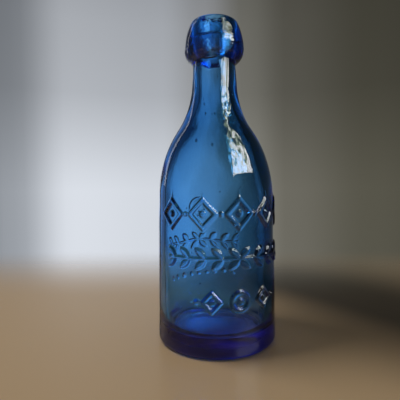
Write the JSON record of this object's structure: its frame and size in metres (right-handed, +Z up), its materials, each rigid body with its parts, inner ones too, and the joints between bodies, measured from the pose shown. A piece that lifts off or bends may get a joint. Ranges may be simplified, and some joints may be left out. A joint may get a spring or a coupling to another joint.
{
  "type": "blob-top glass bottle",
  "caption": "Round blown-glass soda bottle with raised lozenges, garland and roundels on a straight tapered barrel, ogee shoulder, short neck and a heavy applied blob lip round a straight cork bore.",
  "frame": {"origin": "centre of the foot, on the plane the bottle stands on", "axes": "+Z up along the bottle's axis, out of the mouth; -Y is the side that the picture shows"},
  "size_m": [0.0673, 0.068, 0.178],
  "materials": {
    "body_glass": "mould-blown cobalt-blue glass, glossy and slightly wavy",
    "lip_glass": "hand-tooled cobalt-blue glass, glossy, fused over the neck"
  },
  "bodies": {
    "root": {"bottle_body": "body_glass", "applied_lip": "lip_glass"}
  },
  "joints": []
}
